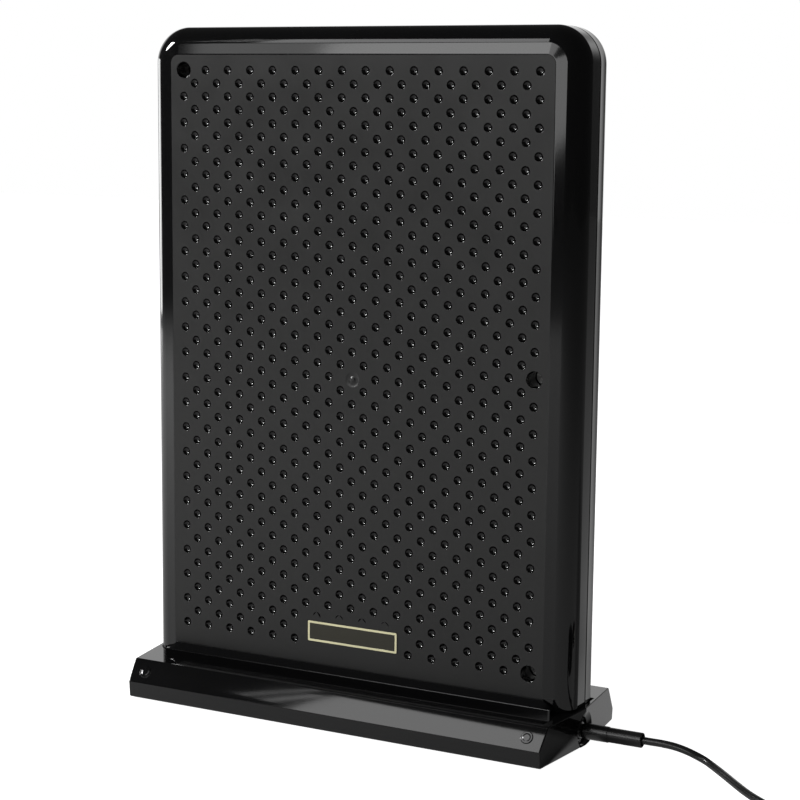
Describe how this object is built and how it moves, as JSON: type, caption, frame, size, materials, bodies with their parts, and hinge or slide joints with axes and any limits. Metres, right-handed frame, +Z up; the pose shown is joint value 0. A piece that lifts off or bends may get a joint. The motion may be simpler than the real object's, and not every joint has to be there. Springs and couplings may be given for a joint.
{
  "type": "indoor tv antenna",
  "caption": "Flat black indoor TV antenna: an upright panel with a dimpled face on a low sloped stand, with its aerial lead coiled beside it.",
  "frame": {"origin": "on the table, under the middle of the stand", "axes": "+Z up, -Y out of the dimpled front face, +X towards the lead's outlet"},
  "size_m": [0.3243, 0.08, 0.265],
  "materials": {
    "face_plastic": "satin moulded black",
    "gloss_black": "polished black",
    "rubber_black": "satin black",
    "steel": "zinc plated",
    "copper": "bare copper",
    "board": "laminate board",
    "ferrite": "matt grey ferrite",
    "cream": "cream printed frame round a black field",
    "pale_plastic": "natural nylon",
    "tie_plastic": "black nylon",
    "nickel": "nickel plated"
  },
  "bodies": {
    "root": {"front_cover": "face_plastic", "back_cover": "gloss_black", "badge": "cream", "cover_screw_top_left": "steel", "cover_screw_middle_right": "steel", "cover_screw_bottom_right": "steel", "antenna_board": "board", "left_element": "copper", "right_element": "copper", "balun_core": "ferrite", "balun_winding": "copper", "board_screw_top_left": "steel", "board_screw_top_right": "steel", "board_screw_bottom_left": "steel", "board_screw_bottom_right": "steel", "inner_lead": "rubber_black", "lead_clamp": "pale_plastic", "clamp_screw": "steel", "stand": "gloss_black", "bottom_plate": "face_plastic", "stand_screw_left": "steel", "stand_screw_right": "steel", "plate_screw_front_left": "steel", "plate_screw_front_right": "steel", "plate_screw_rear_left": "steel", "plate_screw_rear_right": "steel", "foot_front_left": "rubber_black", "foot_front_right": "rubber_black", "foot_rear_left": "rubber_black", "foot_rear_right": "rubber_black", "strain_relief": "rubber_black", "cord": "rubber_black", "cord_coil": "rubber_black", "cord_tail": "rubber_black", "coil_tie": "tie_plastic", "plug_body": "rubber_black", "plug_contact": "nickel", "plug_insulator": "pale_plastic", "plug_pin": "nickel"}
  },
  "joints": []
}
